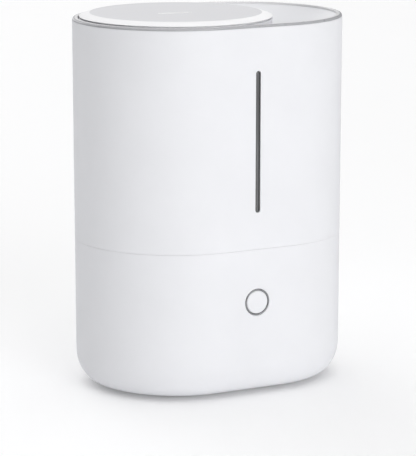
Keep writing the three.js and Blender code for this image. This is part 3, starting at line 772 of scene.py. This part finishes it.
def button_cap():
    face = [(0, 0.42), (3, 0.40), (6, 0.31), (8, 0.16), (9.1, 0.0), (9.43, -0.25), (9.55, -0.7)]
    skirt = [(9.55, -2.3), (9.05, -2.6), (9.05, -4.9), (10.8, -4.9), (10.8, -6)]
    plunger = [(2.2, -6), (2.2, -8), (0, -8)]
    ob = lathe("button_cap_fine", face + skirt + plunger, segments=128, closed=False)
    upright(ob, 0, -wall_y(BUTTON_Z), BUTTON_Z)
    dress(ob, "body_white", "button", "button_cap", sharp=50)


def power_inlet():
    sleeve = [(3.2, 0), (7.1, 0), (7.1, -2.9), (9, -2.9), (9, -5), (5.5, -5), (5.5, -15.5)]
    end_wall = [(0, -15.5), (0, -13), (3.2, -13)]
    on_axis = (len(sleeve), len(sleeve) + 1)
    ob = lathe("power_inlet_fine", soft(sleeve + end_wall, 0.3, keep=on_axis), segments=64)
    pin = [(0, -14), (1, -14), (1, -1.9), (0.7, -1.5), (0, -1.5)]
    boolean(ob, [lathe("pin", pin, segments=24, closed=False)], "UNION")
    upright(ob, INLET_X, wall_y(INLET_Z), INLET_Z, back=True)
    dress(ob, "dark_plastic", "base", "power_inlet")


button_ring()
button_cap()
power_inlet()


# ---------------------------------------------------------------- feet and bottom cover
def feet():
    profile = [(0, 0), (6.8, 0), (7.5, 0.25), (7.9, 0.8), (8, 1.4), (8, 4.6), (0, 4.6)]
    for i, at in enumerate(FEET, 1):
        ob = lathe(f"foot_{i}_fine", profile, at, 48, False)
        dress(ob, "foot_rubber", "base", f"foot_{i}", sharp=50)


def bottom_cover():
    ob = slab("bottom_cover_fine", body_outline(24, FOOT), FOOT, 5.6)
    cuts = [slab("cut", circle(8.3, at, 48), FOOT - 1, 4.9) for at in FEET]
    for at in SCREWS:
        cuts.append(slab("cut", circle(1.7, at, 24), 2, 7))
        cuts.append(slab("cut", circle(3.6, at, 32), 1, 4.4))
    for i in range(-3, 4):
        length = 34 - abs(i) * 3.2
        cuts.append(slab("cut", pill(2.6, length, 8, (FAN[0] + i * 5, FAN[1])), 1, 7))
    boolean(ob, cuts)
    round_edges(ob, 0.3, lambda m: m.z < FOOT + 0.1, 2)
    posts = [slab("post", circle(3, (x, y), 24), 5.2, 13.7) for x in (-68, -16) for y in (-24, 24)]
    boolean(ob, posts, "UNION")
    dress(ob, "inner_white", "base", "bottom_cover")


feet()
bottom_cover()


# ---------------------------------------------------------------- pieces seen when it comes apart
def solid_piece(name, slot, body, profile, at, radius=0.3):
    """A small turned piece whose profile starts and ends on the axis, with its corners rounded."""
    ob = lathe(f"{name}_fine", soft(profile, radius, closed=False), at, 64, False)
    dress(ob, slot, body, name)


def ring_piece(name, slot, body, profile, at, radius=0.3, segments=64):
    """A small turned piece with a closed profile clear of the axis, with its corners rounded."""
    dress(lathe(f"{name}_fine", soft(profile, radius), at, segments), slot, body, name)


def base_deck():
    lip_top, inside = 128, 3.1
    ob = slab("base_deck_fine", body_outline(inside, DECK_Z - PLATE), DECK_Z - PLATE, DECK_Z)
    low = DECK_Z - PLATE + 0.4
    lip = [(inside, low), (inside + 1.8, low), (inside + 1.8, lip_top), (inside, lip_top)]
    pan = slab("pan", stadium(80, 58, (8, 0)), PAN_UNDER, DECK_Z - 0.02)
    boolean(ob, [around("lip", soft(lip, 0.6)), pan], "UNION")

    hollow = slab("hollow", stadium(77.8, 55.8, (8, 0)), PAN_FLOOR, 130)
    round_edges(hollow, 3.0, lambda m: m.z < PAN_FLOOR + 0.1, 4)
    through = (PAN_UNDER - 1, PAN_FLOOR + 1)
    air = box("air", *AIR_WAY, through)
    boolean(ob, [hollow, air, cylinder("hole", 12.3, MIST_AXIS, *through)])

    def pan_edge(m):
        return abs(m.z - DECK_Z) < 0.05 and abs(m.y) < 56.5 and -70.2 < m.x < 86.2

    round_edges(ob, 0.8, pan_edge)
    root, post_top, rib_top = PAN_FLOOR - 0.5, 127.2, 116
    post = soft([(0, root), (3, root), (3, post_top), (0, post_top)], 0.6, closed=False, keep=(1,))
    ribs = [box("rib", (VALVE[0] - 7, VALVE[0] + 7), (-1, 1), (root, rib_top)),
            box("rib", (VALVE[0] - 1, VALVE[0] + 1), (-7, 7), (root, rib_top))]
    guide = cylinder("guide", 3.4, FLOAT, root, 112, 48)
    boolean(ob, [lathe("post", post, VALVE, 48, False), *ribs, guide], "UNION")
    dress(ob, "inner_white", "base", "base_deck")


def air_port():
    """The cutter of the port through which the tower blows into the mist ring."""
    return box("port", (AXIS_X + 14, 2), (-9, 9), (102, 115))


def mist_ring():
    low, high = PAN_FLOOR + 0.3, 124
    ob = lathe("mist_ring_fine", soft([(22, low), (24, low), (24, high), (22, high)], 0.6), MIST_AXIS)
    water_notch = box("notch", (AXIS_X - 30, AXIS_X - 18), (-8, 8), (PAN_FLOOR, PAN_FLOOR + 6))
    boolean(ob, [air_port(), water_notch])
    dress(ob, "inner_white", "base", "mist_ring")


def air_tower():
    (x0, x1), (y0, y1) = AIR_WAY
    ob = box("air_tower_fine", (x0 - 5.3, x1 + 2), (y0 - 2, y1 + 2), (PAN_FLOOR + 0.3, 119))
    round_edges(ob, 1.2, lambda m: m.z > 95 and m.x > -8, 4)
    ring = cylinder("beside", 24.3, MIST_AXIS, PAN_FLOOR - 1, 121)
    hollow = box("hollow", *AIR_WAY, (PAN_FLOOR - 1, 117))
    boolean(ob, [ring, hollow, air_port()])
    dress(ob, "inner_white", "base", "air_tower")


def mist_chimney():
    bore, out = CHIMNEY_R
    low, high = reach("mist_chimney", Z)
    flange = FLOOR_Z + 2.9
    ring_piece("mist_chimney", "clear_tube", "tank", [
        (bore, low), (out, low), (out, flange), (27, flange), (27, flange + 2), (out, flange + 2),
        (out, high), (bore, high)], MIST_AXIS, 0.5, 96)


def tank_floor():
    hole_r = 16.3
    ob = slab("tank_floor_fine", body_outline(WALL + 0.3, FLOOR_Z), FLOOR_Z, FLOOR_TOP)
    boolean(ob, [cylinder("neck", hole_r + 2, VALVE, SEAT_Z, FLOOR_Z + 0.5)], "UNION")
    chimney = cylinder("hole", CHIMNEY_R[1] + 0.3, MIST_AXIS, FLOOR_Z - 1, FLOOR_Z + 4)
    boolean(ob, [chimney, cylinder("hole", hole_r, VALVE, SEAT_Z - 1, FLOOR_Z + 4)])

    def hole_edges(m):
        return math.hypot(m.x - VALVE[0], m.y) < 19 or math.hypot(m.x - AXIS_X, m.y) < 22

    round_edges(ob, 0.5, hole_edges)
    dress(ob, "inner_white", "tank", "tank_floor")


def valve_cap():
    low, seat, top = SEAT_Z - 2.3, SEAT_Z - 0.3, FLOOR_Z - 0.4
    cap = [(7, low), (20.7, low), (20.7, top), (18.7, top), (18.7, seat), (7, seat)]
    guide = [(2.8, low), (4.4, low), (4.4, seat), (2.8, seat)]
    ob = lathe("valve_cap_fine", soft(cap, 0.5), VALVE)
    parts = [lathe("guide", soft(guide, 0.3), VALVE, 48)]
    for i in range(3):
        spoke = box("spoke", (3.6, 8), (-0.8, 0.8), (low + 0.1, seat - 0.1))
        parts.append(turned_about(spoke, 120 * i, VALVE))
    for i in range(6):
        lug = box("lug", (20, 22.2), (-2.5, 2.5), (low + 0.2, top - 1))
        round_edges(lug, 0.8, lambda m: m.x > 21)
        parts.append(turned_about(lug, 60 * i, VALVE))
    boolean(ob, parts, "UNION")
    dress(ob, "inner_white", "tank", "valve_cap")


def valve():
    post, seal = reach("valve_stem", Z)[0], reach("valve_seal", Z)[0]
    solid_piece("valve_stem", "inner_white", "valve", [
        (0, post), (5, post), (5, post + 2.1), (2.4, post + 2.1), (2.4, seal + 1.8),
        (8.5, seal + 1.8), (8.5, seal + 3.4), (2, seal + 4.6), (0, seal + 4.6)], VALVE)
    ring_piece("valve_seal", "silicone", "valve", [
        (2.7, seal), (10.5, seal), (10.5, seal + 1.5), (2.7, seal + 1.5)], VALVE)


def level_float():
    low, high = reach("level_float", Z)
    ring_piece("level_float", "inner_white", "float", [
        (4, low), (10, low), (11, low + 1), (11, high - 1), (10, high), (4, high)], FLOAT, 0.6)
    low, high = reach("float_cap", Z)
    solid_piece("float_cap", "smoked_lens", "base", [
        (0, low), (6.5, low), (6.5, high - 1), (5.5, high), (0, high)], FLOAT)


def transducer():
    low, high = reach("transducer_seal", Z)
    ring_piece("transducer_seal", "silicone", "base", [
        (8.4, low), (12, low), (12, high), (8.4, high), (8.4, high - 0.7),
        (10.3, high - 0.7), (10.3, low + 0.7), (8.4, low + 0.7)], MIST_AXIS, 0.2)
    low, high = reach("transducer_disc", Z)
    solid_piece("transducer_disc", "brass", "base", [
        (0, low), (10, low), (10, high), (0, high)], MIST_AXIS, 0.1)


def lid_seals():
    low, high = reach("chimney_seal", Z)
    ring_piece("chimney_seal", "silicone", "lid", [
        (21.3, low), (23.1, low), (23.1, high), (22.3, high), (21.3, high - 0.8)], MIST_AXIS, 0.2, 96)
    low, high = reach("lid_gasket", Z)
    gasket = soft([(2.9, low), (3.8, low), (3.8, high), (2.9, high)], 0.35)
    dress(around("lid_gasket_fine", gasket), "silicone", "lid", "lid_gasket")


base_deck()
mist_ring()
air_tower()
mist_chimney()
tank_floor()
valve_cap()
valve()
level_float()
transducer()
lid_seals()


# ---------------------------------------------------------------- CAD nodes that are kept
def refine(node, slot):
    """Gives a CAD node that is kept its material and slightly rounded edges."""
    ob = frame["nodes"][node]
    ob.data.materials.clear()
    ob.data.materials.append(finishes[slot].made)
    ob.data.polygons.foreach_set("use_smooth", [True] * len(ob.data.polygons))
    weld = ob.modifiers.new("weld", "WELD")
    weld.merge_threshold = 1e-5
    bevel = ob.modifiers.new("bevel", "BEVEL")
    bevel.width = 0.2 * MM
    bevel.segments = 2
    bevel.limit_method = "ANGLE"
    bevel.angle_limit = math.radians(40)
    bevel.use_clamp_overlap = True
    normals = ob.modifiers.new("weighted", "WEIGHTED_NORMAL")
    normals.weight = 80


for row in frame["record"]["subparts"]:
    if not frame["nodes"][row["node"]].hide_render:
        refine(row["node"], row["material_slot"])


# ---------------------------------------------------------------- floor, light and camera
def floor():
    half = 20000
    corners = [(-half, -half, 0), (half, -half, 0), (half, half, 0), (-half, half, 0)]
    ob = mesh_object("floor", corners, [(0, 1, 2, 3)])
    m = Material("floor")
    tone = m.blend(m.noise(3, 2), (0.925, 0.925, 0.93), (0.94, 0.94, 0.945))
    m.set(Base_Color=tone, Roughness=0.7, Emission_Color=(1.0, 1.0, 1.0), Emission_Strength=0.09)
    ob.data.materials.append(m.made)


# Radiance of the studio's soft lights by azimuth, in degrees: 0 is in front of the object and 90
# to its right. One ring of lights is low and one is half way up, and the rest of each is dim.
# Over the rings and under the horizon the light is even. A ramp's colours end at 1, so every
# radiance is divided by the brightest one, which is the background's strength.
LOW_LIGHTS = {-180: 3.4, -150: 1.2, 0: 6.5, 30: 0.5}
HIGH_LIGHTS = {-180: 0.8, -135: 0.3, 135: 0.5}
DIM = 0.05
OVERHEAD = 1.64
BELOW = 0.85
BRIGHTEST = max(LOW_LIGHTS.values())


def light_ring(t, around_room, lights, step):
    """The colours of a ring of lights, one every step degrees, which fade into each other."""
    values = [lights.get(azimuth, DIM) / BRIGHTEST for azimuth in range(-180, 180, step)]
    node = t.new("ShaderNodeValToRGB", Fac=around_room)
    elements = node.color_ramp.elements
    while len(elements) < len(values) + 1:
        elements.new(0.5)
    for i, value in enumerate(values + values[:1]):
        elements[i].position = i / len(values)
        elements[i].color = (value, value, value, 1)
    return node.outputs["Color"]


def studio():
    world = bpy.data.worlds.new("studio")
    bpy.context.scene.world = world
    world.use_nodes = True
    t = Tree(world.node_tree)
    way = t.new("ShaderNodeTexCoord").outputs["Generated"]
    up = t.along(way, "Z")
    azimuth = t.math("ARCTAN2", t.along(way, "X"), t.math("MULTIPLY", t.along(way, "Y"), -1.0))
    around_room = t.between(azimuth, 0, 1, -math.pi, math.pi)
    low = light_ring(t, around_room, LOW_LIGHTS, 30)
    high = light_ring(t, around_room, HIGH_LIGHTS, 45)
    walls = t.blend(t.between(up, 0, 1, 0.26, 0.64), low, high)
    sky = t.blend(t.between(up, 0, 1, 0.64, 0.9), walls, [OVERHEAD / BRIGHTEST] * 3)
    room = t.blend(t.between(up, 0, 1, -0.02, -0.15), sky, [BELOW / BRIGHTEST] * 3)
    background = world.node_tree.nodes["Background"]
    t.put(background.inputs["Color"], room)
    t.put(background.inputs["Strength"], BRIGHTEST)


def camera():
    azimuth, elevation, distance = math.radians(-28.5), math.radians(10.5), 2.2
    aim_height = 0.1266  # under the middle, because the body stands high in the frame
    data = bpy.data.cameras.new("camera")
    data.sensor_width = 36
    data.lens = 207.9
    data.clip_start, data.clip_end = 0.05, 100
    ob = link(bpy.data.objects.new("camera", data))
    level = math.cos(elevation)
    way_out = Vector((math.sin(azimuth) * level, -math.cos(azimuth) * level, math.sin(elevation)))
    ob.location = Vector((0, 0, HEIGHT / 2 * MM)) + way_out * distance
    aim = Vector((0, 0, aim_height)) - ob.location
    ob.rotation_mode = "QUATERNION"
    ob.rotation_quaternion = aim.to_track_quat("-Z", "Y")
    bpy.context.scene.camera = ob


floor()
studio()
camera()
bpy.context.scene.view_settings.view_transform = "Standard"
